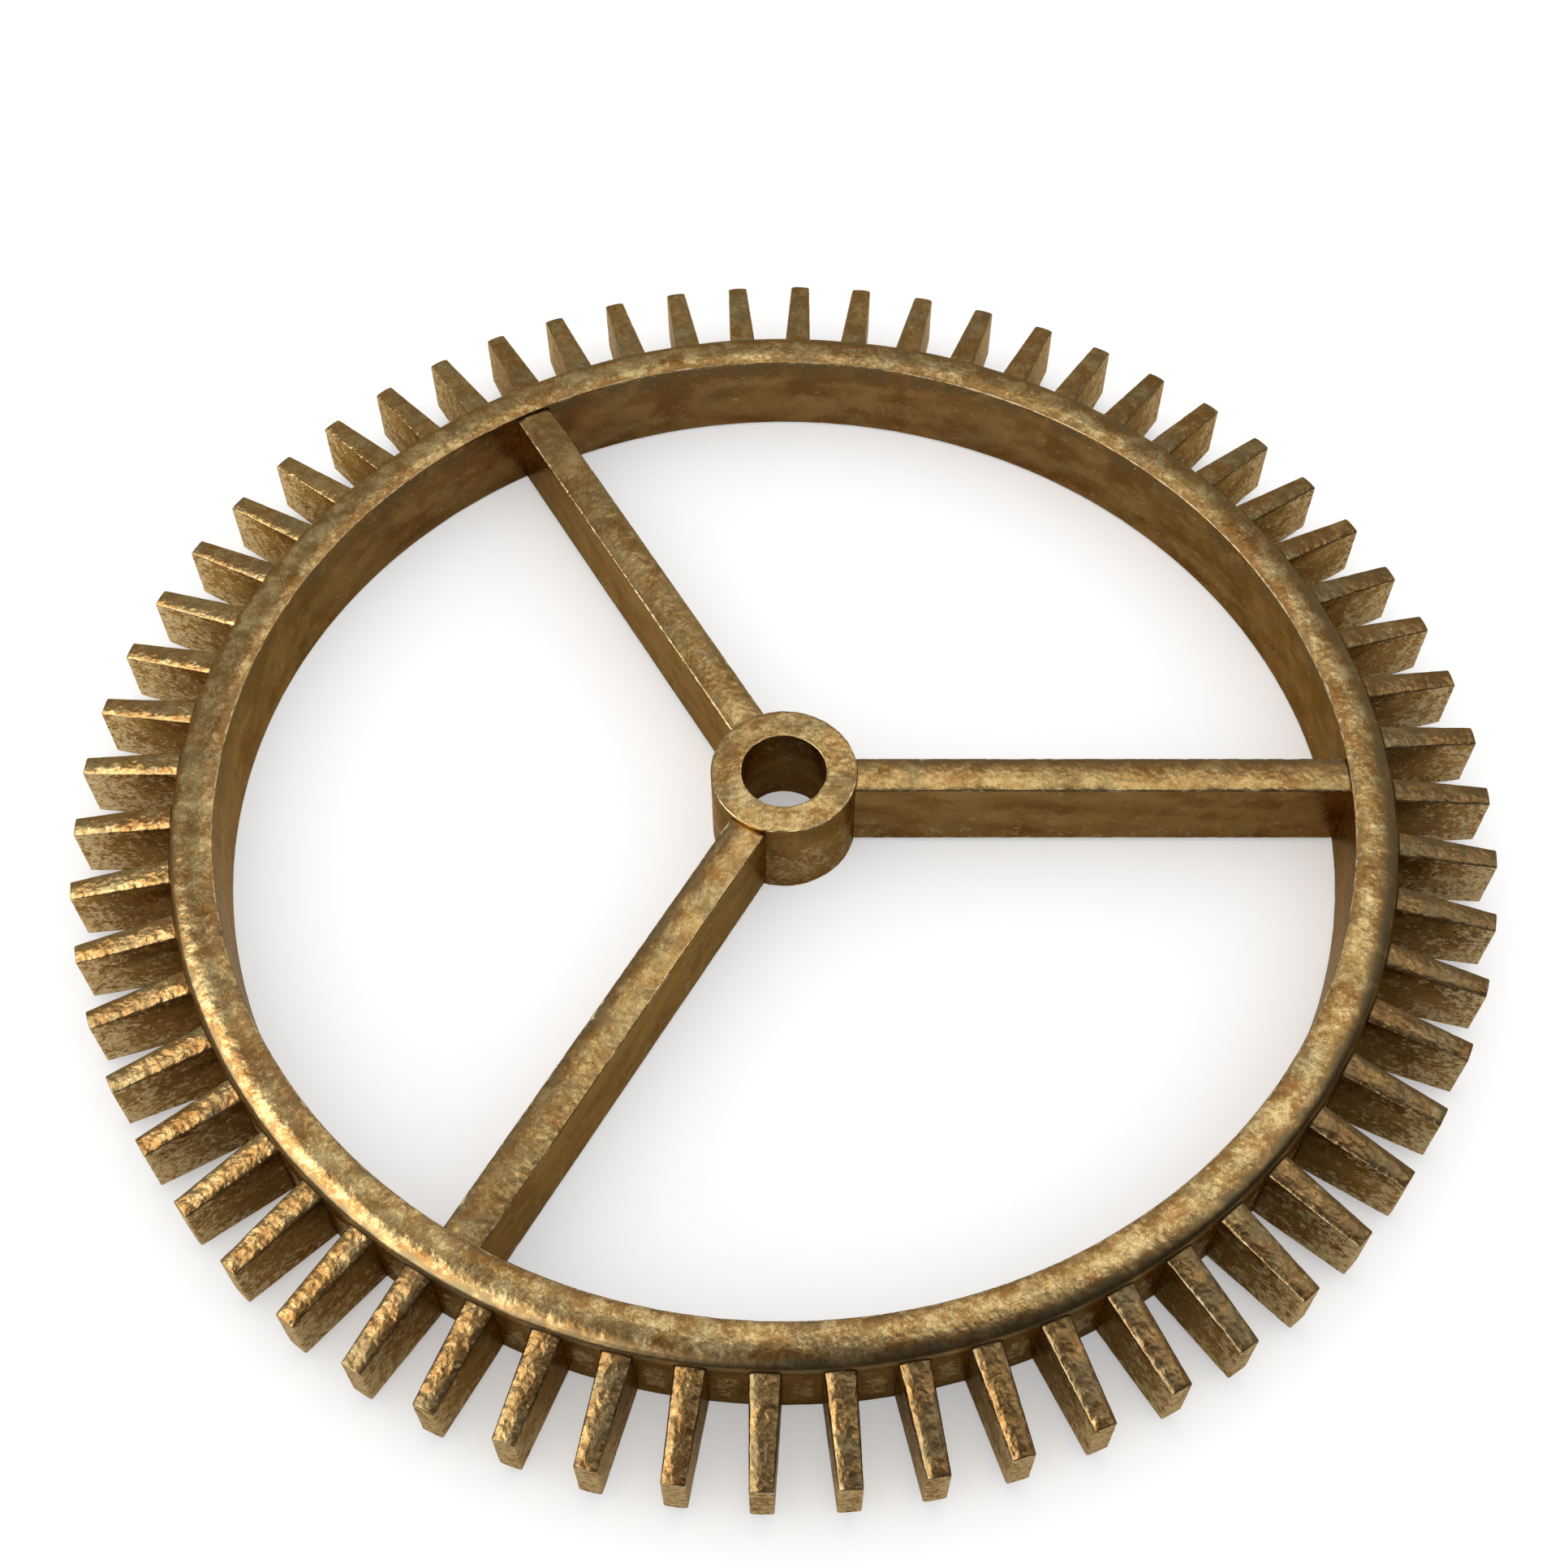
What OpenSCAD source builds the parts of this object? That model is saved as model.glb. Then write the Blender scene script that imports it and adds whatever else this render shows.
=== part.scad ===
// Built-up brass spur wheel: a rim, a hub, three spokes and sixty inserted teeth.
// The shaft axis is Z. Z = 0 is the face that the wheel lies on, and the origin is on the shaft axis.
// Every spoke and tooth has a tenon that sits in a blind pocket, so each one is a solid of its own.

/* [Hub] */
// Diameter of the shaft bore
bore_d = 12; // [6:0.5:14]
// Outside diameter of the hub
hub_d = 20.8; // [20.4:0.2:26]

/* [Rim] */
// Diameter inside the rim
rim_inner_d = 160; // [140:1:170]
// Thickness of the rim between its inner and outer walls
rim_wall = 6.2; // [6:0.1:9]
// Width of the rim and the hub along the shaft axis
wheel_w = 14.4; // [13.4:0.2:20]
// Radius of the rounded outer corners of the rim
rim_corner_r = 2.4; // [1:0.1:2.9]

/* [Spokes] */
// Number of spokes
spoke_count = 3; // [3:1:6]
// Width of a spoke across the wheel's face
spoke_w = 5.6; // [4.4:0.1:7]
// Height of a spoke along the shaft axis
spoke_h = 12.8; // [9.6:0.2:13]

/* [Teeth] */
// Number of teeth, an even number because a node holds two of them
tooth_count = 60; // [40:2:70]
// How far a tooth stands out from the rim
tooth_len = 13.8; // [6:0.2:18]
// Thickness of a tooth where it meets the rim
tooth_root_w = 4; // [3.4:0.1:4.4]
// Thickness of a tooth at its tip
tooth_tip_w = 3; // [2.8:0.1:3.4]
// Height of a tooth along the shaft axis where it meets the rim
tooth_root_h = 12; // [10:0.2:12.4]
// Height of a tooth along the shaft axis at its tip
tooth_tip_h = 9.6; // [8:0.2:10]
// Angle from the first spoke to the middle of the first tooth
tooth_phase = 4.5; // [0:0.5:6]

/* [Hidden] */
$fn = 96;

mid_z = wheel_w / 2;
bore_r = bore_d / 2;
hub_r = hub_d / 2;
rim_inner_r = rim_inner_d / 2;
rim_outer_r = rim_inner_r + rim_wall;
tip_r = rim_outer_r + tooth_len;

// Small breaks on the turned edges and on the corners of the tooth tips
edge_break = 0.3;
tip_break = 0.45;

// Tenons, and the room left around them for solder
solder_gap = 0.1;
spoke_tenon_w = 3.4;
spoke_tenon_h = 8;
spoke_tenon_depth = 2.2;
tooth_tenon_w = 2.4;
tooth_tenon_h = 7;
tooth_tenon_depth = 2.8;

// A tooth's flanks are drawn from inside the rim, then cut back to the rim's surface
tooth_start_r = rim_outer_r - rim_corner_r;

pair_count = tooth_count / 2;
function two_digits(n) = n < 10 ? str("0", n) : str(n);
function pair_name(p) = str("teeth_", two_digits(2 * p - 1), "_", two_digits(2 * p));
function spoke_name(s) = str("spoke_", s);
function spoke_angle(s) = (s - 1) * 360 / spoke_count;
function tooth_angle(t) = tooth_phase + (t - 1) * 360 / tooth_count;

// A tooth's section at radius r follows a straight taper from the rim to the tip
function taper(root, tip, r) = root + (tip - root) * (r - rim_outer_r) / tooth_len;

// A block along +X from radius r0 to radius r1, w wide and h high, centred on the wheel's middle plane
module radial_block(r0, r1, w, h) {
    translate([r0, -w / 2, mid_z - h / 2]) cube([r1 - r0, w, h]);
}

module rim_section() {
    polygon([
        [rim_inner_r + edge_break, 0],
        [rim_outer_r - rim_corner_r, 0],
        [rim_outer_r - rim_corner_r, wheel_w],
        [rim_inner_r + edge_break, wheel_w],
        [rim_inner_r, wheel_w - edge_break],
        [rim_inner_r, edge_break]
    ]);
    translate([rim_inner_r, rim_corner_r]) square([rim_wall, wheel_w - 2 * rim_corner_r]);
    for (z = [rim_corner_r, wheel_w - rim_corner_r])
        translate([rim_outer_r - rim_corner_r, z]) circle(r = rim_corner_r);
}

module rim_blank() {
    rotate_extrude() rim_section();
}

module rim() {
    color([0.52, 0.40, 0.23]) difference() {
        rim_blank();
        for (s = [1 : spoke_count])
            rotate([0, 0, spoke_angle(s)]) spoke_pocket(rim_inner_r - 2, rim_inner_r + spoke_tenon_depth);
        for (t = [1 : tooth_count])
            rotate([0, 0, tooth_angle(t)]) tooth_pocket();
    }
}

// The pocket is longer than the tenon by the solder gap at its closed end
module spoke_pocket(r0, r1) {
    radial_block(r0 - solder_gap, r1 + solder_gap,
                 spoke_tenon_w + 2 * solder_gap, spoke_tenon_h + 2 * solder_gap);
}

module tooth_pocket() {
    radial_block(rim_outer_r - tooth_tenon_depth - solder_gap, rim_outer_r + 1,
                 tooth_tenon_w + 2 * solder_gap, tooth_tenon_h + 2 * solder_gap);
}

module hub_section() {
    polygon([
        [bore_r + edge_break, 0],
        [hub_r - edge_break, 0],
        [hub_r, edge_break],
        [hub_r, wheel_w - edge_break],
        [hub_r - edge_break, wheel_w],
        [bore_r + edge_break, wheel_w],
        [bore_r, wheel_w - edge_break],
        [bore_r, edge_break]
    ]);
}

module hub() {
    color([0.60, 0.46, 0.26]) difference() {
        rotate_extrude() hub_section();
        for (s = [1 : spoke_count])
            rotate([0, 0, spoke_angle(s)]) spoke_pocket(hub_r - spoke_tenon_depth, hub_r + 2);
    }
}

// A spoke's shoulders are cut to the curves of the hub and the rim that they meet
module spoke(s) {
    color([0.56, 0.42, 0.24]) rotate([0, 0, spoke_angle(s)]) {
        difference() {
            intersection() {
                radial_block(hub_r - 2, rim_inner_r + 2, spoke_w, spoke_h);
                cylinder(r = rim_inner_r, h = wheel_w);
            }
            translate([0, 0, -1]) cylinder(r = hub_r, h = wheel_w + 2);
        }
        radial_block(hub_r - spoke_tenon_depth, rim_inner_r + spoke_tenon_depth,
                     spoke_tenon_w, spoke_tenon_h);
    }
}

// The flanks of a tooth seen along the shaft axis, with the two corners of the tip broken
module tooth_plan() {
    root_half = taper(tooth_root_w, tooth_tip_w, tooth_start_r) / 2;
    tip_half = tooth_tip_w / 2;
    polygon([
        [tooth_start_r, -root_half],
        [tip_r - tip_break, -tip_half],
        [tip_r, -tip_half + tip_break],
        [tip_r, tip_half - tip_break],
        [tip_r - tip_break, tip_half],
        [tooth_start_r, root_half]
    ]);
}

// The same tooth seen along the rim
module tooth_side() {
    root_half = taper(tooth_root_h, tooth_tip_h, tooth_start_r) / 2;
    tip_half = tooth_tip_h / 2;
    polygon([
        [tooth_start_r, -root_half],
        [tip_r, -tip_half],
        [tip_r, tip_half],
        [tooth_start_r, root_half]
    ]);
}

module tooth() {
    difference() {
        intersection() {
            linear_extrude(wheel_w) tooth_plan();
            translate([0, tooth_root_w, mid_z]) rotate([90, 0, 0])
                linear_extrude(2 * tooth_root_w) tooth_side();
        }
        rim_blank();
    }
    radial_block(rim_outer_r - tooth_tenon_depth, rim_outer_r + 1, tooth_tenon_w, tooth_tenon_h);
}

module tooth_pair(p) {
    color([0.48, 0.36, 0.20])
        for (t = [2 * p - 1, 2 * p])
            rotate([0, 0, tooth_angle(t)]) tooth();
}

rim();
hub();
for (s = [1 : spoke_count])
    spoke(s);
for (p = [1 : pair_count])
    tooth_pair(p);
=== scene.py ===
"""Looks of a built-up spur wheel in aged brass, lying on a pale floor.

Every piece is built here as a worn, slightly uneven mesh that stands for one CAD node: the rim and
the hub are turned profiles, and the spokes and the teeth are blocks with rounded, nicked edges.
Shapes are worked out in millimetres in the CAD frame and scaled to metres when a mesh is made.
"""

import math
from types import SimpleNamespace

import bpy
import numpy as np
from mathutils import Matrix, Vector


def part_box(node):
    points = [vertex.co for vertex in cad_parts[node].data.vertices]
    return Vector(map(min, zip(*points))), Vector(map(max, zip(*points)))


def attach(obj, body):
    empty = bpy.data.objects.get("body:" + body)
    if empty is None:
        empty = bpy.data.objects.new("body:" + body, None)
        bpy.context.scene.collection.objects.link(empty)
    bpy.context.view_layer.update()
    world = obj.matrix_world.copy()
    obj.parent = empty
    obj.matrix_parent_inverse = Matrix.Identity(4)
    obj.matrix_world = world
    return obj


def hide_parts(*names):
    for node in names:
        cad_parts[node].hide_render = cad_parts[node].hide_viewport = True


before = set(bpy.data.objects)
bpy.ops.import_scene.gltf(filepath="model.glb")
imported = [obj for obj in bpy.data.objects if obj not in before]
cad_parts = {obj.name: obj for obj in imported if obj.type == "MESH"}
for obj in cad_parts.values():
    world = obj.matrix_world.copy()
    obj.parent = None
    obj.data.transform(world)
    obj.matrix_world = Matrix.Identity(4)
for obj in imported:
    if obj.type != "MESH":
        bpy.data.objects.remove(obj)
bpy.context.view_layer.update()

MM = 0.001

# The wheel, in millimetres, as in the CAD
WHEEL_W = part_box("rim")[1].z / MM
MID_Z = WHEEL_W / 2
RIM_OUTER_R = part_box("rim")[1].x / MM
RIM_INNER_R = 80.0
HUB_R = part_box("hub")[1].x / MM
BORE_R = 6.0
SPOKE_COUNT = 3
SPOKE_W = 5.6
SPOKE_H = 12.8
TOOTH_COUNT = 60
TOOTH_PHASE = math.radians(4.5)
TIP_R = 100.0
TOOTH_ROOT_W, TOOTH_TIP_W = 4.0, 3.0
TOOTH_ROOT_H, TOOTH_TIP_H = 12.0, 9.6

# How far a spoke or a tooth runs into the piece that holds it, so that no gap shows at the joint
SPOKE_BITE = 0.9
TOOTH_BITE = 1.9

# Rounded edges
FINE_EDGE_R = 0.13
BLOCK_EDGE_R = 0.22

# The rim's faces are domed: level at this radius, and tilted this far before the outer corner
RIM_APEX_R = 82.8
RIM_CORNER_R = 1.4
RIM_TILT = math.radians(22)
RIM_INNER_DROP = 0.30

# How many steps the turned pieces take round the axis
RIM_STEPS = 1100
HUB_STEPS = 200

# The wheel's walls are laid out flat from this direction, where a spoke and a tooth hide the seam
SEAM = math.radians(-1)

# The side of each spoke whose top gets a band of painted shade, looking out from the hub: 1 left, -1
# right, 0 none
PAINTED_SHADE_SIDE = {1: 1, 2: 0, 3: -1}


# ---------------------------------------------------------------- repeatable noise

def lattice(ix, iy, iz, seed):
    """A repeatable value from -1 to 1 for each whole-numbered point."""
    h = (ix * 73856093) ^ (iy * 19349663) ^ (iz * 83492791) ^ (seed * 50331653)
    h = ((h ^ (h >> 13)) * 1274126177) & 0xFFFFFFFF
    h = ((h ^ (h >> 15)) * 668265263) & 0xFFFFFFFF
    return (h ^ (h >> 16)) / 0x7FFFFFFF - 1


def noise(points, cell, seed):
    """Smooth noise from about -1 to 1, with features about one cell wide, at each point."""
    scaled = points / cell
    corner = np.floor(scaled).astype(np.int64)
    blend = scaled - corner
    blend = blend * blend * (3 - 2 * blend)
    total = np.zeros(len(points))
    for step in np.ndindex(2, 2, 2):
        side = np.array(step)
        weight = np.prod(np.where(side == 1, blend, 1 - blend), axis=1)
        total += weight * lattice(*(corner + side).T, seed)
    return total


def hand_finish(points, seed, dents=1.0):
    """Millimetres that a hand-worked face stands above or below its true surface."""
    swell = 0.05 * noise(points, 11.0, seed)
    broad = 0.022 * noise(points, 1.7, seed + 1)
    fine = 0.012 * noise(points, 0.8, seed + 2)
    return swell + dents * (broad + fine)


def nicks(points, edge_gap, seed, depth, reach=0.6):
    """Millimetres that chips take off near an edge, where edge_gap is the distance from it."""
    near = np.clip(1 - edge_gap / reach, 0, 1)
    large = np.clip(noise(points, 1.3, seed) - 0.25, 0, 1)
    small = np.clip(noise(points, 0.7, seed + 5), 0, 1)
    return depth * near * near * (large + 0.5 * small)


# ---------------------------------------------------------------- mesh building

def make_piece(name, points, quads, layers):
    """A smooth mesh object in metres. layers holds its per-vertex attributes by name."""
    mesh = bpy.data.meshes.new(name)
    mesh.from_pydata((points * MM).tolist(), [], quads.tolist())
    for layer, values in layers.items():
        kind, key = ("FLOAT_VECTOR", "vector") if values.ndim == 2 else ("FLOAT", "value")
        attribute = mesh.attributes.new(layer, kind, "POINT")
        attribute.data.foreach_set(key, values.astype(np.float32).ravel())
    mesh.polygons.foreach_set("use_smooth", np.ones(len(quads), bool))
    mesh.update()
    piece = bpy.data.objects.new(name, mesh)
    bpy.context.scene.collection.objects.link(piece)
    return piece


def finish_piece(piece, node, material):
    piece.data.materials.append(material)
    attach(piece, "root")
    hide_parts(node)


def line(start, end, step):
    """Points from start up to but not including end, about one step apart."""
    start, end = np.array(start), np.array(end)
    count = max(1, round(float(np.linalg.norm(end - start)) / step))
    return start + (end - start) * (np.arange(count) / count)[:, None]


def arc(centre, radii, start_deg, end_deg, count):
    """Points along a round or oval arc, without its last point."""
    angle = np.radians(start_deg + (end_deg - start_deg) * np.arange(count) / count)
    return np.array(centre) + np.array(radii) * np.column_stack([np.cos(angle), np.sin(angle)])


def crown(start, end, count, power):
    """Points along a shallow crown that is level where it meets end, without its last point."""
    t = np.arange(count)[:, None] / count
    start, end = np.array(start), np.array(end)
    across = start[0] + (end[0] - start[0]) * t
    height = end[1] + (start[1] - end[1]) * (1 - t) ** power
    return np.column_stack([across, height])


def profile_normals(profile):
    """Unit normals of a closed outline of (radius, height) points that runs clockwise."""
    tangent = np.roll(profile, -1, axis=0) - np.roll(profile, 1, axis=0)
    normal = np.column_stack([-tangent[:, 1], tangent[:, 0]])
    return normal / np.linalg.norm(normal, axis=1)[:, None]


def corner_gaps(profile, corners):
    """Distance in millimetres from each outline point to the nearest of some corner points."""
    return np.min([np.linalg.norm(profile - np.array(c), axis=1) for c in corners], axis=0)


def lathe(profile, count):
    """Sweeps a closed outline round the Z axis. Returns points, outward normals, quads and angles."""
    angle = SEAM + np.arange(count) * 2 * math.pi / count
    around = np.column_stack([np.cos(angle), np.sin(angle)])
    size = len(profile)

    def sweep(section):
        flat = around[:, None, :] * section[None, :, :1]
        high = np.broadcast_to(section[None, :, 1:], (count, size, 1))
        return np.concatenate([flat, high], axis=2).reshape(-1, 3)

    i, j = np.meshgrid(np.arange(count), np.arange(size), indexing="ij")
    i_next, j_next = (i + 1) % count, (j + 1) % size
    loop = [i * size + j, i * size + j_next, i_next * size + j_next, i_next * size + j]
    quads = np.stack(loop, axis=-1)
    return sweep(profile), sweep(profile_normals(profile)), quads.reshape(-1, 4), np.repeat(angle, size)


def rounded_steps(half, radius, step, arc_steps=4):
    """Coordinates along one side of a block, close together where its edges are rounded."""
    flat = half - radius
    bend = flat + radius * np.tan(np.radians(45) * np.arange(1, arc_steps + 1) / arc_steps)
    count = max(1, round(2 * flat / step))
    middle = np.linspace(-flat, flat, count + 1)
    return np.concatenate([-bend[::-1], middle, bend])


def box_lattice(last):
    """The surface of a box of whole steps, up to last each way, as (i, j, k) points and quads."""
    index, quads = {}, []
    for axis in range(3):
        u, v = (axis + 1) % 3, (axis + 2) % 3
        for end in (0, last[axis]):
            for a, b in np.ndindex(last[u], last[v]):
                loop = [(a, b), (a + 1, b), (a + 1, b + 1), (a, b + 1)]
                if end == 0:
                    loop.reverse()
                face = []
                for p, q in loop:
                    key = [0, 0, 0]
                    key[axis], key[u], key[v] = end, p, q
                    face.append(index.setdefault(tuple(key), len(index)))
                quads.append(face)
    return np.array(list(index)), np.array(quads)


def block(half, radius, step):
    """A block with rounded edges, centred on the origin.

    Returns its points, outward normals, quads and each point's distance from the nearest edge."""
    half = np.array(half, float)
    sides = [rounded_steps(h, radius, step) for h in half]
    keys, quads = box_lattice([len(side) - 1 for side in sides])
    raw = np.column_stack([sides[axis][keys[:, axis]] for axis in range(3)])
    inner = np.clip(raw, radius - half, half - radius)
    away = raw - inner
    normals = away / np.linalg.norm(away, axis=1)[:, None]
    edge_gap = np.sort(half - np.abs(raw), axis=1)[:, 1]
    return inner + radius * normals, normals, quads, edge_gap


def turned(points, angle):
    """Points or directions turned about the Z axis."""
    c, s = math.cos(angle), math.sin(angle)
    return points @ np.array([[c, s, 0], [-s, c, 0], [0, 0, 1]])


# ---------------------------------------------------------------- layers for the materials

def skin(normals, along, points):
    """Surface coordinates in millimetres: the plan view of the faces, and the walls laid out flat."""
    level = np.abs(normals[:, 2])[:, None] > 0.7
    wall = np.column_stack([along, points[:, 2]])
    flat = np.where(level, points[:, :2], wall)
    return np.column_stack([flat, np.zeros(len(points))])


def rise(value, low, high):
    """0 below low, 1 above high and smooth between."""
    t = np.clip((value - low) / (high - low), 0, 1)
    return t * t * (3 - 2 * t)


def faces(normals):
    """1 on the level faces and 0 on the walls."""
    return rise(np.abs(normals[:, 2]), 0.3, 0.9)


def footprint_gap(along, height, width, tall):
    """Distance outwards from the outline of a block's end that stands on a wall, negative inside it."""
    side, up = np.abs(along) - width / 2, np.abs(height) - tall / 2
    return np.hypot(np.clip(side, 0, None), np.clip(up, 0, None)) + np.minimum(np.maximum(side, up), 0)


def angle_from(angle, first, count):
    """Angle from the nearest of some evenly spaced directions."""
    pitch = 2 * math.pi / count
    return (angle - first + pitch / 2) % pitch - pitch / 2


# ---------------------------------------------------------------- the pieces

def mirrored(half, outer_r):
    """A closed outline from its upper half, which runs from the inner to the outer wall."""
    lower = half[:0:-1] * [1, -1] + [0, WHEEL_W]
    return np.concatenate([half, [[outer_r, MID_Z]], lower])


def rim_profile():
    inner, corner, top, fine = RIM_INNER_R, RIM_CORNER_R, WHEEL_W, FINE_EDGE_R
    lip = top - RIM_INNER_DROP
    bend_start_r = RIM_OUTER_R - corner * (1 - math.sin(RIM_TILT))
    drop = math.tan(RIM_TILT) * (bend_start_r - RIM_APEX_R) / 3
    centre = (RIM_OUTER_R - corner, top - drop - corner * math.cos(RIM_TILT))
    half = [
        line((inner, MID_Z), (inner, lip - fine), 0.5),
        arc((inner + fine, lip - fine), (fine, fine), 180, 90, 4),
        crown((inner + fine, lip), (RIM_APEX_R, top), 9, 2),
        crown((bend_start_r, top - drop), (RIM_APEX_R, top), 6, 3)[:0:-1],
        arc(centre, (corner, corner), 90 - math.degrees(RIM_TILT), 0, 9),
        line((RIM_OUTER_R, centre[1]), (RIM_OUTER_R, MID_Z), 0.5),
    ]
    return mirrored(np.concatenate(half), RIM_OUTER_R)


def rim_rub(radius, height, tooth_gap):
    """How much the rim's walls are rubbed bare: outside, most in the middle between two teeth."""
    between_teeth = rise(tooth_gap, 0.3, 1.8) * rise(-np.abs(height), -5.5, -2.0)
    return np.where(radius > RIM_OUTER_R - 0.3, 1.1 * between_teeth - 0.3, -0.3)


def rim_patina(radius, rightward):
    """Painted shade on the rim's faces: some along the inner edge, and a band along the outer one.

    The band is widest where rightward is 1 and narrowest where it is -1."""
    inner = 0.55 * rise(-radius, -RIM_INNER_R - 2.7, -RIM_INNER_R - 0.3)
    reach = 2.8 + 1.1 * rightward
    return inner + 0.85 * rise(radius, RIM_OUTER_R - reach, RIM_OUTER_R - 0.3 * reach)


def build_rim(material):
    profile = rim_profile()
    points, normals, quads, angle = lathe(profile, RIM_STEPS)
    corners = [(RIM_INNER_R, WHEEL_W - RIM_INNER_DROP), (RIM_INNER_R, RIM_INNER_DROP)]
    edge_gap = np.tile(corner_gaps(profile, corners), RIM_STEPS)
    radius = np.hypot(points[:, 0], points[:, 1])
    height = points[:, 2] - MID_Z
    inside = radius < RIM_INNER_R + 1
    lift = hand_finish(points, 11) * rise(edge_gap, 0, 1.5) - nicks(points, edge_gap, 23, 0.08)
    to_tooth = radius * angle_from(angle, TOOTH_PHASE, TOOTH_COUNT)
    tooth_gap = footprint_gap(to_tooth, height, TOOTH_ROOT_W, TOOTH_ROOT_H)
    to_spoke = radius * angle_from(angle, 0, SPOKE_COUNT)
    spoke_gap = footprint_gap(to_spoke, height, SPOKE_W, SPOKE_H)
    off_wall = 10 * rise(radius, RIM_INNER_R + 0.1, RIM_INNER_R + 0.4)
    # Painted shade on the walls: the inner wall darker towards its top, the outer wall darker near its
    # top and bottom edges
    wall_patina = np.where(inside, 0.75 * rise(height, -1, 6.5), 0.85 * rise(np.abs(height), 4.5, 5.5))
    # Painted shade on the rim's faces, widest along the outer edge on the right
    face_patina = rim_patina(radius, np.cos(angle))
    layers = {
        "grain": points,
        "skin": skin(normals, radius * angle, points),
        "edge": edge_gap,
        "joint": np.where(inside, spoke_gap + off_wall, tooth_gap),
        "rub": rim_rub(radius, height, tooth_gap),
        "patina": np.where(np.abs(normals[:, 2]) < 0.2, wall_patina, face_patina),
    }
    piece = make_piece("aged_rim", points + normals * lift[:, None], quads, layers)
    finish_piece(piece, "rim", material)


def hub_profile():
    fine = FINE_EDGE_R
    top = WHEEL_W
    half = np.concatenate([
        line((BORE_R, MID_Z), (BORE_R, top - fine), 0.4),
        arc((BORE_R + fine, top - fine), (fine, fine), 180, 90, 4),
        line((BORE_R + fine, top), (HUB_R - fine, top), 0.35),
        arc((HUB_R - fine, top - fine), (fine, fine), 90, 0, 4),
        line((HUB_R, top - fine), (HUB_R, MID_Z), 0.4),
    ])
    return mirrored(half, HUB_R)


def build_hub(material):
    profile = hub_profile()
    points, normals, quads, angle = lathe(profile, HUB_STEPS)
    corners = [(r, z) for r in (BORE_R, HUB_R) for z in (0, WHEEL_W)]
    edge_gap = np.tile(corner_gaps(profile, corners), HUB_STEPS)
    radius = np.hypot(points[:, 0], points[:, 1])
    lift = hand_finish(points, 31) * rise(edge_gap, 0, 1) - nicks(points, edge_gap, 43, 0.16)
    height = points[:, 2] - MID_Z
    to_spoke = radius * angle_from(angle, 0, SPOKE_COUNT)
    spoke_gap = footprint_gap(to_spoke, height, SPOKE_W, SPOKE_H)
    off_wall = 10 * rise(-radius, 0.4 - HUB_R, 0.8 - HUB_R)
    # Painted shade on the top face, darker towards the back left; the wall is darker towards its top
    face_patina = 0.6 * rise(0.6 * points[:, 1] - points[:, 0], 0, 12)
    wall_patina = 0.6 * rise(height, 0, 7)
    layers = {
        "grain": points,
        "skin": skin(normals, radius * angle, points),
        "edge": edge_gap,
        "joint": spoke_gap + off_wall,
        "rub": np.where(radius > HUB_R - 0.1, 0.55 - 0.6 * rise(height, -1, 5), 0.05),
        "patina": np.where(np.abs(normals[:, 2]) > 0.7, face_patina, wall_patina),
    }
    piece = make_piece("aged_hub", points + normals * lift[:, None], quads, layers)
    finish_piece(piece, "hub", material)


def build_spoke(number, material):
    start, end = HUB_R - SPOKE_BITE, RIM_INNER_R + SPOKE_BITE
    length = end - start
    points, normals, quads, edge_gap = block((length / 2, SPOKE_W / 2, SPOKE_H / 2), BLOCK_EDGE_R, 0.5)
    points[:, 0] += (start + end) / 2
    across = points[:, 1] / (SPOKE_W / 2)
    points[:, 2] *= 1 - 0.03 * across ** 2
    offset = np.array([0, 40.0 * number, 0])
    lift = hand_finish(points + offset, 50 + number) * rise(edge_gap, 0, 1)
    lift -= nicks(points + offset, edge_gap, 60 + number, 0.15)
    layers = {
        "grain": points + offset,
        "skin": skin(normals, points[:, 0] + offset[1], points + offset),
        "edge": edge_gap,
        "joint": np.minimum(np.hypot(points[:, 0], points[:, 1]) - HUB_R, RIM_INNER_R - points[:, 0]),
        "rub": 0.35 * rise(-points[:, 2], 0, 6),
        # Painted shade along one side of the spoke's top
        "patina": 0.8 * rise(across * PAINTED_SHADE_SIDE[number], 0.0, 0.9) * faces(normals),
    }
    placed = turned(points + normals * lift[:, None], (number - 1) * 2 * math.pi / SPOKE_COUNT)
    piece = make_piece(f"aged_spoke_{number}", placed + [0, 0, MID_Z], quads, layers)
    finish_piece(piece, f"spoke_{number}", material)


def tooth_shape():
    """One tooth along +X, about its middle plane, with its normals, quads and edge distances."""
    start = RIM_OUTER_R - TOOTH_BITE
    half_length = (TIP_R - start) / 2
    half = (half_length, TOOTH_TIP_W / 2, TOOTH_TIP_H / 2)
    points, normals, quads, edge_gap = block(half, BLOCK_EDGE_R, 0.42)
    points[:, 0] += start + half_length
    to_rim = (TIP_R - points[:, 0]) / (TIP_R - RIM_OUTER_R)
    across = points[:, 1] / (TOOTH_TIP_W / 2)
    points[:, 1] *= 1 + (TOOTH_ROOT_W / TOOTH_TIP_W - 1) * to_rim
    points[:, 2] *= 1 + (TOOTH_ROOT_H / TOOTH_TIP_H - 1) * to_rim
    points[:, 2] *= 1 - 0.045 * np.abs(across) ** 3
    return points, normals, quads, edge_gap


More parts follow.
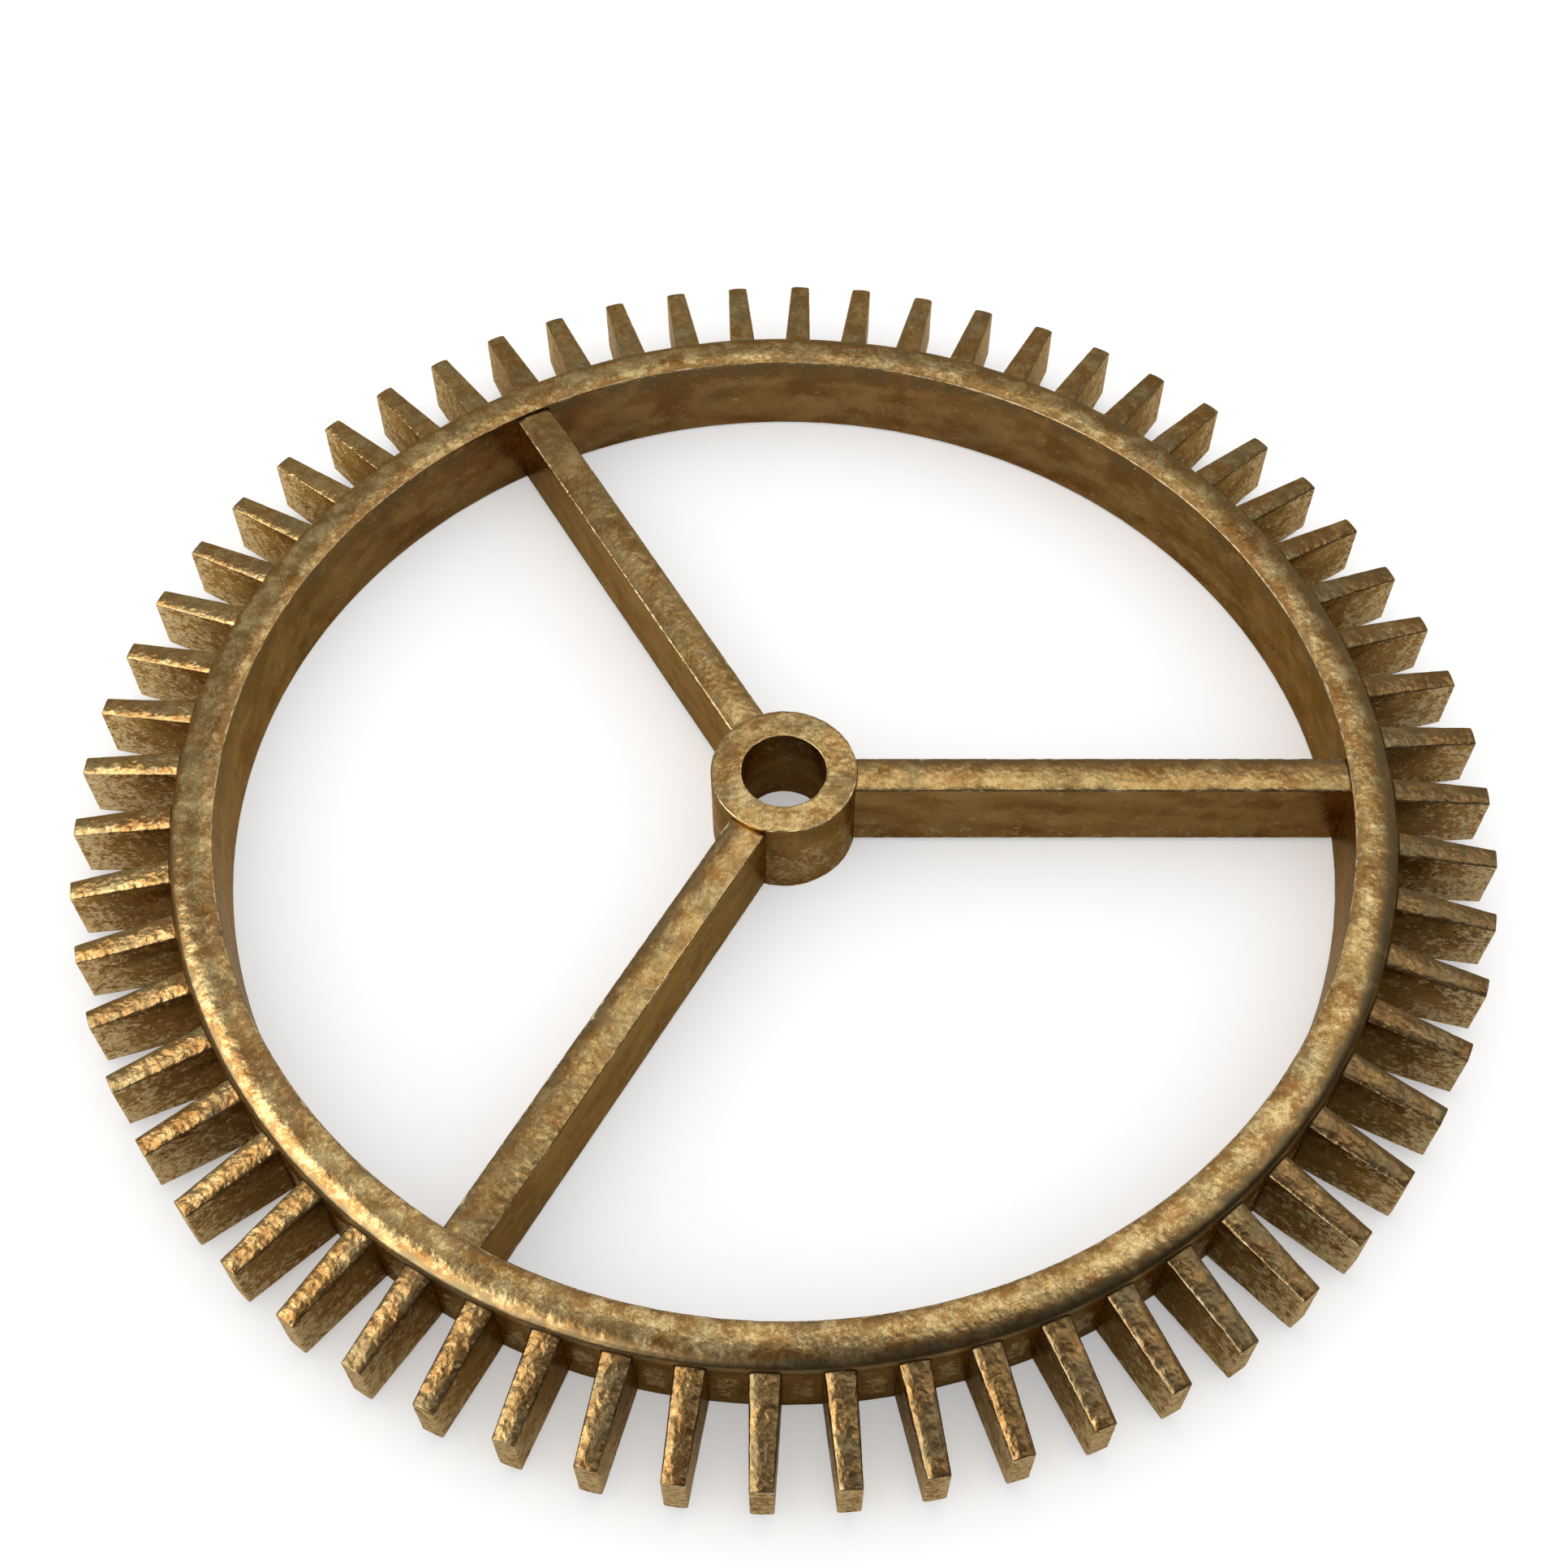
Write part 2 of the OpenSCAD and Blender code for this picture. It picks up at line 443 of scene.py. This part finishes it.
def place_tooth(shape, number, rng):
    """One tooth of the wheel, a little different from its neighbours, as points and layers."""
    points, normals, _, edge_gap = shape
    offset = np.array([17.0, 23.0, 31.0]) * number
    lift = hand_finish(points + offset, 70, dents=2.0) * rise(edge_gap, 0, 0.7)
    lift -= nicks(points + offset, edge_gap, 80, 0.1)
    points = points + normals * lift[:, None]
    outward = np.clip((points[:, 0] - RIM_OUTER_R) / (TIP_R - RIM_OUTER_R), 0, 1)
    points[:, 0] -= outward * rng.uniform(0, 0.2)
    points[:, 1] += outward * rng.normal(0, 0.06)
    points[:, 2] += outward * rng.normal(0, 0.05)
    low = rise(-points[:, 2], 0, TOOTH_TIP_H / 2)
    angle = TOOTH_PHASE + (number - 1) * 2 * math.pi / TOOTH_COUNT
    # Painted shade: teeth towards the front right are darker, those towards the back left lighter
    painted_shade_by_angle = 0.42 + 0.22 * math.cos(angle) - 0.18 * math.sin(angle)
    rub = rng.uniform(0.0, 0.35) + 0.8 * outward ** 1.5 + 0.3 * low
    # The tooth's painted shade from its place, a thin painted shade line along the edges of its top, and
    # a little patina that differs at random
    patina = 0.4 * rise(-edge_gap, -0.2, 0) + painted_shade_by_angle + rng.uniform(-0.12, 0.12)
    layers = {
        "grain": points + offset,
        "skin": skin(normals, points[:, 0] + points[:, 1] + offset[0], points + offset),
        "edge": edge_gap,
        "joint": points[:, 0] - RIM_OUTER_R,
        "rub": rub,
        "patina": patina * faces(normals),
    }
    return turned(points, angle) + [0, 0, MID_Z], layers


def build_teeth(material):
    shape = tooth_shape()
    rng = np.random.default_rng(7)
    for first in range(1, TOOTH_COUNT, 2):
        placed = [place_tooth(shape, number, rng) for number in (first, first + 1)]
        points = np.concatenate([p for p, _ in placed])
        layers = {key: np.concatenate([l[key] for _, l in placed]) for key in placed[0][1]}
        quads = np.concatenate([shape[2], shape[2] + len(shape[0])])
        node = f"teeth_{first:02d}_{first + 1:02d}"
        piece = make_piece("aged_" + node, points, quads, layers)
        finish_piece(piece, node, material)


# ---------------------------------------------------------------- aged brass

BROWN = (0.195, 0.093, 0.026)
BRASS = (0.385, 0.256, 0.096)
OLIVE = (0.165, 0.137, 0.068)
COPPER = (0.400, 0.185, 0.055)
TAN = (0.580, 0.468, 0.235)
PALE = (0.720, 0.590, 0.350)
# A painted warm glow, laid on the walls
WARM_GLOW = (0.330, 0.175, 0.056)
GOLD = (0.780, 0.620, 0.340)
# Laid where the patina and painted shade layer is high: partly patina, partly painted shade
PATINA_AND_SHADE = (0.155, 0.117, 0.058)
# Grime and painted shade at the joints
CREASE = (0.020, 0.011, 0.004)
EDGE_TINT = (0.92, 0.75, 0.50)

# Brush strokes: direction in degrees, length and width in millimetres
STROKES = ((38, 1.3, 0.17), (-24, 1.5, 0.17), (97, 1.1, 0.17))

# Full height of the bump, in millimetres
BUMP_DEPTH = 0.3


class Nodes:
    """Short calls for building one material's node tree."""

    def __init__(self, tree):
        self.tree = tree

    def add(self, kind, **settings):
        node = self.tree.nodes.new(kind)
        for key, value in settings.items():
            setattr(node, key, value)
        return node

    def feed(self, socket, value):
        if isinstance(value, bpy.types.NodeSocket):
            self.tree.links.new(value, socket)
        elif isinstance(value, tuple) and len(value) == 3 and socket.type == "RGBA":
            socket.default_value = (*value, 1)
        else:
            socket.default_value = value

    def math(self, operation, *values):
        node = self.add("ShaderNodeMath", operation=operation)
        for i, value in enumerate(values):
            self.feed(node.inputs[i], value)
        return node.outputs[0]

    def stretch(self, value, low, high, out_low=0.0, out_high=1.0):
        """Maps low..high to out_low..out_high, held at the ends."""
        node = self.add("ShaderNodeMapRange", interpolation_type="SMOOTHSTEP")
        for i, v in enumerate((value, low, high, out_low, out_high)):
            self.feed(node.inputs[i], v)
        return node.outputs[0]

    def mix(self, factor, a, b):
        node = self.add("ShaderNodeMix", data_type="RGBA")
        self.feed(node.inputs[0], factor)
        self.feed(node.inputs[6], a)
        self.feed(node.inputs[7], b)
        return node.outputs[2]

    def noise(self, vector, size, detail=2.0, roughness=0.5, distortion=0.0):
        """Noise with features about size millimetres wide, where vector is in millimetres."""
        node = self.add("ShaderNodeTexNoise")
        self.feed(node.inputs["Vector"], vector)
        node.inputs["Scale"].default_value = 1 / size
        node.inputs["Detail"].default_value = detail
        node.inputs["Roughness"].default_value = roughness
        node.inputs["Distortion"].default_value = distortion
        return node.outputs[0]

    def layout(self, vector, scale=(1, 1, 1), turn=(0, 0, 0), shift=(0, 0, 0)):
        node = self.add("ShaderNodeMapping")
        self.feed(node.inputs["Vector"], vector)
        node.inputs["Scale"].default_value = scale
        node.inputs["Rotation"].default_value = [math.radians(t) for t in turn]
        node.inputs["Location"].default_value = shift
        return node.outputs[0]

    def layer(self, name, output="Fac"):
        return self.add("ShaderNodeAttribute", attribute_name=name).outputs[output]


def streaks(n, surface, direction, length, width):
    """Noise drawn out into short streaks, length by width millimetres, across the surface."""
    laid = n.layout(surface, turn=(0, 0, direction), shift=(direction, 0, 0))
    return n.noise(n.layout(laid, scale=(1 / length, 1 / width, 1)), 1.0, detail=1.5, distortion=0.2)


def brushing(n, surface):
    """Crossed, wavering brush marks: their average, about 0.5, and the strongest one at each point."""
    waver = n.add("ShaderNodeTexNoise")
    n.feed(waver.inputs["Vector"], surface)
    waver.inputs["Scale"].default_value = 1 / 2.2
    bent = n.add("ShaderNodeVectorMath", operation="MULTIPLY_ADD")
    n.feed(bent.inputs[0], waver.outputs["Color"])
    n.feed(bent.inputs[1], (1.1, 1.1, 0))
    n.feed(bent.inputs[2], surface)
    surface = bent.outputs[0]
    strokes = [streaks(n, surface, *stroke) for stroke in STROKES]
    total = n.math("ADD", n.math("ADD", strokes[0], strokes[1]), strokes[2])
    return n.math("DIVIDE", total, 3.0), n.math("MAXIMUM", strokes[0], strokes[1])


def scratches(n, surface):
    """A few long hair-thin scratches, 1 on a scratch."""
    first = streaks(n, surface, 22, 6.0, 0.13)
    second = streaks(n, surface, -38, 5.0, 0.13)
    return n.stretch(n.math("MAXIMUM", first, second), 0.69, 0.73)


def weighted(n, *terms):
    """Sum of noises, each taken about 0.5 and times its weight."""
    total = 0.0
    for value, weight in terms:
        total = n.math("MULTIPLY_ADD", n.math("SUBTRACT", value, 0.5), weight, total)
    return total


def bare_marks(n, grain, scuffs, amount):
    """1 where brass shows bare: thin scratches, closing up into patches where the rub layer is high."""
    broad = n.noise(n.layout(grain, shift=(3, 3, 77)), 2.4, detail=5.0, roughness=0.7)
    cover = n.math("MULTIPLY_ADD", n.math("SUBTRACT", broad, 0.5), 3.0, n.layer("rub"))
    cover = n.math("MINIMUM", n.math("MAXIMUM", cover, 0.0), 1.0)
    return n.stretch(n.math("MULTIPLY_ADD", cover, 0.30, scuffs), 0.76, 0.82, 0, amount)


def brass_surface(n):
    """The noises, layers and directions that one material's colours, marks and bump share."""
    s = SimpleNamespace(grain=n.layer("grain", "Vector"), skin=n.layer("skin", "Vector"))
    up = n.add("ShaderNodeSeparateXYZ")
    n.feed(up.inputs[0], n.add("ShaderNodeNewGeometry").outputs["Normal"])
    steepness = n.math("ABSOLUTE", up.outputs[2])
    s.level = n.stretch(steepness, 0.25, 0.9)
    s.wall = n.math("SUBTRACT", 1.0, s.level)

    s.patches = n.noise(s.grain, 8.0, detail=3.0, roughness=0.55)
    s.clouds = n.noise(n.layout(s.grain, shift=(12, 5, 8)), 2.6, detail=3.0, roughness=0.55)
    s.mottle = n.noise(s.grain, 0.8, detail=3.0, roughness=0.6)
    brushed, scuffs = brushing(n, s.skin)
    s.scuffs = n.math("ADD", scuffs, weighted(n, (s.mottle, 0.7)))

    # The skin layer changes over from plan view to wall inside a rounded edge, so brushing fades there
    off_bend = n.stretch(n.math("ABSOLUTE", n.math("SUBTRACT", steepness, 0.66)), 0.14, 0.24)
    s.brushed = n.math("MULTIPLY_ADD", n.math("SUBTRACT", brushed, 0.5), off_bend, 0.5)
    # Patina and painted shade from the layer, broken up by clouds
    s.patina = n.math("MULTIPLY", n.layer("patina"), n.stretch(s.clouds, 0.3, 0.7, 1.0, 0.6))
    return s


def ground_colour(n, s, blotch):
    """Brown to brass in soft patches, with a painted warm glow on the walls."""
    tone = weighted(n, (s.patches, 0.50 * blotch), (s.clouds, 0.35 * blotch),
                    (s.mottle, 0.16), (s.brushed, 0.24))
    drawn = weighted(n, (streaks(n, s.skin, 4, 8.0, 3.0), 0.6))
    tone = n.math("MULTIPLY_ADD", s.wall, drawn, tone)
    # Darker under the patina and painted shade
    tone = n.math("MULTIPLY_ADD", s.patina, -0.2, tone)
    colour = n.mix(n.stretch(tone, -0.14, 0.14), BROWN, BRASS)
    # Painted warm glow on the walls, in soft patches
    painted_glow = n.math("MULTIPLY", s.wall, n.stretch(s.patches, 0.35, 0.65, 0.1, 0.6))
    return n.mix(painted_glow, colour, WARM_GLOW)


def spots(n, s, shift, size, detail, low, high, amount):
    """Soft spots, from 0 to amount."""
    field = n.noise(n.layout(s.grain, shift=shift), size, detail=detail)
    return n.stretch(field, low, high, 0, amount)


def polished_and_highlit(n, s, colour, worn):
    """Level faces made lighter, partly by wear and partly as painted highlights, except under the patina
    and painted shade, which is laid on last.
    """
    polish_and_highlight = weighted(n, (s.clouds, 0.8), (s.mottle, 0.4), (s.brushed, 1.4))
    # worn is the most that wear and painted highlights lighten a level face
    polish_and_highlight = n.math("MULTIPLY", n.stretch(polish_and_highlight, -0.08, 0.22, 0, worn), s.level)
    polish_and_highlight = n.math("MULTIPLY", polish_and_highlight, n.math("SUBTRACT", 1.0, s.patina))
    return n.mix(n.stretch(s.patina, 0.3, 0.9), n.mix(polish_and_highlight, colour, TAN), PATINA_AND_SHADE)


def wall_marks(n, s, bare):
    """Bare patches and scratches, on the walls only."""
    rubbed = bare_marks(n, s.grain, s.scuffs, bare)
    rubbed = n.math("MULTIPLY", rubbed, n.stretch(s.brushed, 0.36, 0.6, 0.6, 1.0))
    scratched = n.math("MULTIPLY", scratches(n, s.skin), 0.45 * bare)
    return n.math("MULTIPLY", n.math("MAXIMUM", rubbed, scratched), s.wall)


def edge_chips(n, s, chipped):
    ragged = weighted(n, (s.mottle, 0.7), (s.clouds, 1.2))
    return n.stretch(n.math("ADD", n.layer("edge"), ragged), 0.02, 0.12, chipped, 0.0)


def set_gloss(n, s, shader, olive_spots, grime_and_shade, marks):
    """Olive spots, the grime and painted shade at the joints, and scratched metal are duller than the
    rest.
    """
    dull = n.math("MAXIMUM", n.math("MULTIPLY", olive_spots, 0.5), grime_and_shade)
    dull = n.math("MAXIMUM", dull, n.math("MULTIPLY", marks, 0.5))
    n.feed(shader.inputs["Metallic"], n.stretch(dull, 0.0, 1.0, 1.0, 0.92))
    n.feed(shader.inputs["Specular Tint"], EDGE_TINT)
    rough = n.stretch(s.mottle, 0.3, 0.7, 0.28, 0.19)
    rough = n.math("MULTIPLY_ADD", marks, 0.18, n.math("MULTIPLY_ADD", s.patina, 0.08, rough))
    n.feed(shader.inputs["Roughness"], n.math("MULTIPLY_ADD", dull, 0.14, rough))


def set_bump(n, s, shader, marks, relief, smoothing):
    """A fine hammered grain, shallow on the walls and smoothed where the patina and painted shade layer
    is high.
    """
    hammered = n.noise(n.layout(s.grain, shift=(2, 44, 6)), 1.2, detail=1.5)
    height = weighted(n, (hammered, 1.2), (s.brushed, 0.25))
    height = n.math("SUBTRACT", height, n.math("MULTIPLY", marks, 0.03))
    smoothed = n.stretch(s.patina, 0.2, 0.7, 1.0, 1.0 - smoothing)
    strength = n.math("MULTIPLY", n.stretch(s.level, 0, 1, 0.15, relief), smoothed)
    bump = n.add("ShaderNodeBump")
    bump.inputs["Distance"].default_value = BUMP_DEPTH * MM
    n.feed(bump.inputs["Strength"], strength)
    n.feed(bump.inputs["Height"], height)
    n.feed(shader.inputs["Normal"], bump.outputs[0])


def aged_brass(name, worn, copper, olive, bare, chipped, relief, blotch, smoothing=0.0):
    """Old brass: brown patina worn back to metal, with painted shade, painted highlights and a painted
    warm glow, olive and copper tints, scratches and dents.
    """
    material = bpy.data.materials.new(name)
    material.use_nodes = True
    n = Nodes(material.node_tree)
    shader = material.node_tree.nodes["Principled BSDF"]
    s = brass_surface(n)

    olive_spots = spots(n, s, (31, 7, 3), 6.0, 3.0, 0.46, 0.68, olive)
    olive_spots = n.math("MULTIPLY", olive_spots, n.stretch(s.level, 0, 1, 0.6, 1.0))
    copper_spots = spots(n, s, (5, 61, 9), 4.0, 4.0, 0.52, 0.74, copper)
    marks = wall_marks(n, s, bare)
    # Grime and painted shade: dark where a spoke or a tooth meets the wall it stands on
    grime_and_shade = n.stretch(n.layer("joint"), 0.0, 0.14, 0.8, 0.0)

    colour = n.mix(olive_spots, ground_colour(n, s, blotch), OLIVE)
    colour = polished_and_highlit(n, s, n.mix(copper_spots, colour, COPPER), worn)
    colour = n.mix(marks, colour, PALE)
    colour = n.mix(edge_chips(n, s, chipped), colour, GOLD)
    n.feed(shader.inputs["Base Color"], n.mix(grime_and_shade, colour, CREASE))

    set_gloss(n, s, shader, olive_spots, grime_and_shade, marks)
    set_bump(n, s, shader, marks, relief, smoothing)
    return material


# ---------------------------------------------------------------- studio

# World strength, and the floor's own glow, which lightens its shadows: together they make it white
WHITE_GROUND = 1.24
SHADOW_LIFT = 0.31

# The floor reaches this many metres each way. Its colour as the camera sees it, and as the metal
# mirrors it left and right of a soft line at these X positions
FLOOR_REACH = 3.0
FLOOR_SEEN = (0.67, 0.67, 0.67)
FLOOR_LEFT = (0.78, 0.73, 0.66)
FLOOR_RIGHT = (0.53, 0.50, 0.46)
LEFT_EDGE = (-0.095, -0.065)

# Metres from the wheel to each lamp
LAMP_DISTANCE = 1.2

# The camera: its place in metres, degrees down from level, and lens in millimetres
CAMERA_PLACE = (0, -0.17008, 0.26574)
CAMERA_DIP = 56.27
LENS = 49.31


def build_camera():
    """The viewpoint: above and in front of the wheel, looking down past its near edge."""
    data = bpy.data.cameras.new("camera")
    data.sensor_width = 36.0
    data.lens = LENS
    data.clip_start = 0.01
    camera = bpy.data.objects.new("camera", data)
    camera.location = CAMERA_PLACE
    camera.rotation_euler = (math.radians(90 - CAMERA_DIP), 0, 0)
    bpy.context.scene.collection.objects.link(camera)
    bpy.context.scene.camera = camera


def build_floor():
    """A white floor. Only camera rays see it white: the metal mirrors a dimmer one, brighter at left."""
    mesh = bpy.data.meshes.new("floor")
    corners = [(x * FLOOR_REACH, y * FLOOR_REACH, 0) for x, y in ((-1, -1), (1, -1), (1, 1), (-1, 1))]
    mesh.from_pydata(corners, [], [(0, 1, 2, 3)])
    floor = bpy.data.objects.new("floor", mesh)
    material = bpy.data.materials.new("floor_white")
    material.use_nodes = True
    n = Nodes(material.node_tree)
    seen = n.add("ShaderNodeLightPath").outputs["Is Camera Ray"]
    shader = material.node_tree.nodes["Principled BSDF"]
    place = n.add("ShaderNodeSeparateXYZ")
    n.feed(place.inputs[0], n.add("ShaderNodeNewGeometry").outputs["Position"])
    past_left_edge = n.stretch(place.outputs[0], *LEFT_EDGE)
    mirrored_floor = n.mix(past_left_edge, FLOOR_LEFT, FLOOR_RIGHT)
    n.feed(shader.inputs["Base Color"], n.mix(seen, mirrored_floor, FLOOR_SEEN))
    n.feed(shader.inputs["Emission Color"], (1.0, 1.0, 1.0))
    n.feed(shader.inputs["Emission Strength"], n.math("MULTIPLY", seen, SHADOW_LIFT))
    shader.inputs["Roughness"].default_value = 1.0
    shader.inputs["Specular IOR Level"].default_value = 0.0
    mesh.materials.append(material)
    bpy.context.scene.collection.objects.link(floor)


def build_world():
    """Even white light on the floor. The metal mirrors a dim room that is lighter behind the wheel."""
    world = bpy.data.worlds.new("studio")
    world.use_nodes = True
    bpy.context.scene.world = world
    n = Nodes(world.node_tree)
    direction = n.add("ShaderNodeSeparateXYZ")
    n.feed(direction.inputs[0], n.add("ShaderNodeTexCoord").outputs["Generated"])
    room = n.stretch(direction.outputs[1], -0.2, 0.8, 0.08, 0.58)
    mirrored = n.add("ShaderNodeLightPath").outputs["Is Glossy Ray"]
    background = world.node_tree.nodes["Background"]
    n.feed(background.inputs["Color"], (1.0, 1.0, 1.0))
    n.feed(background.inputs["Strength"], n.stretch(mirrored, 0, 1, WHITE_GROUND, room))


def add_softbox(name, azimuth, elevation, size, radiance):
    """A large lamp that shines on the metal only, so that the floor keeps its even shade.

    Azimuth is measured from straight behind the wheel towards the right."""
    data = bpy.data.lights.new(name, "AREA")
    data.shape = "RECTANGLE"
    data.size, data.size_y = size
    data.energy = radiance * math.pi * size[0] * size[1]
    light = bpy.data.objects.new(name, data)
    az, el = math.radians(azimuth), math.radians(elevation)
    direction = (math.sin(az) * math.cos(el), math.cos(az) * math.cos(el), math.sin(el))
    light.location = [LAMP_DISTANCE * v for v in direction]
    light.rotation_mode = "QUATERNION"
    light.rotation_quaternion = (-light.location).to_track_quat("-Z", "Y")
    light.visible_diffuse = False
    bpy.context.scene.collection.objects.link(light)


def build_lights():
    add_softbox("left_softbox", -101, 49, (1.10, 1.10), 4.6)
    add_softbox("front_softbox", -142, 34, (0.60, 0.50), 3.0)
    add_softbox("back_softbox", 28, 65, (0.90, 0.40), 1.6)
    add_softbox("right_softbox", 86, 55, (0.40, 0.30), 1.5)


def build_studio():
    build_camera()
    build_floor()
    build_world()
    build_lights()
    view = bpy.context.scene.view_settings
    view.view_transform = "Standard"
    view.look = "None"


def build_wheel():
    build_rim(aged_brass("rim_brass", worn=0.6, copper=0.20, olive=0.42, bare=0.9, chipped=0.4,
                         relief=0.23, blotch=0.8, smoothing=0.65))
    build_hub(aged_brass("hub_brass", worn=0.40, copper=0.20, olive=0.50, bare=0.6, chipped=0.6,
                         relief=0.27, blotch=0.8))
    spoke_brass = aged_brass("spoke_brass", worn=0.28, copper=0.25, olive=0.40, bare=0.4, chipped=0.7,
                             relief=0.27, blotch=0.8)
    for number in range(1, SPOKE_COUNT + 1):
        build_spoke(number, spoke_brass)
    build_teeth(aged_brass("tooth_brass", worn=0.30, copper=0.0, olive=0.60, bare=1.0, chipped=0.15,
                           relief=0.62, blotch=0.3))


build_wheel()
build_studio()
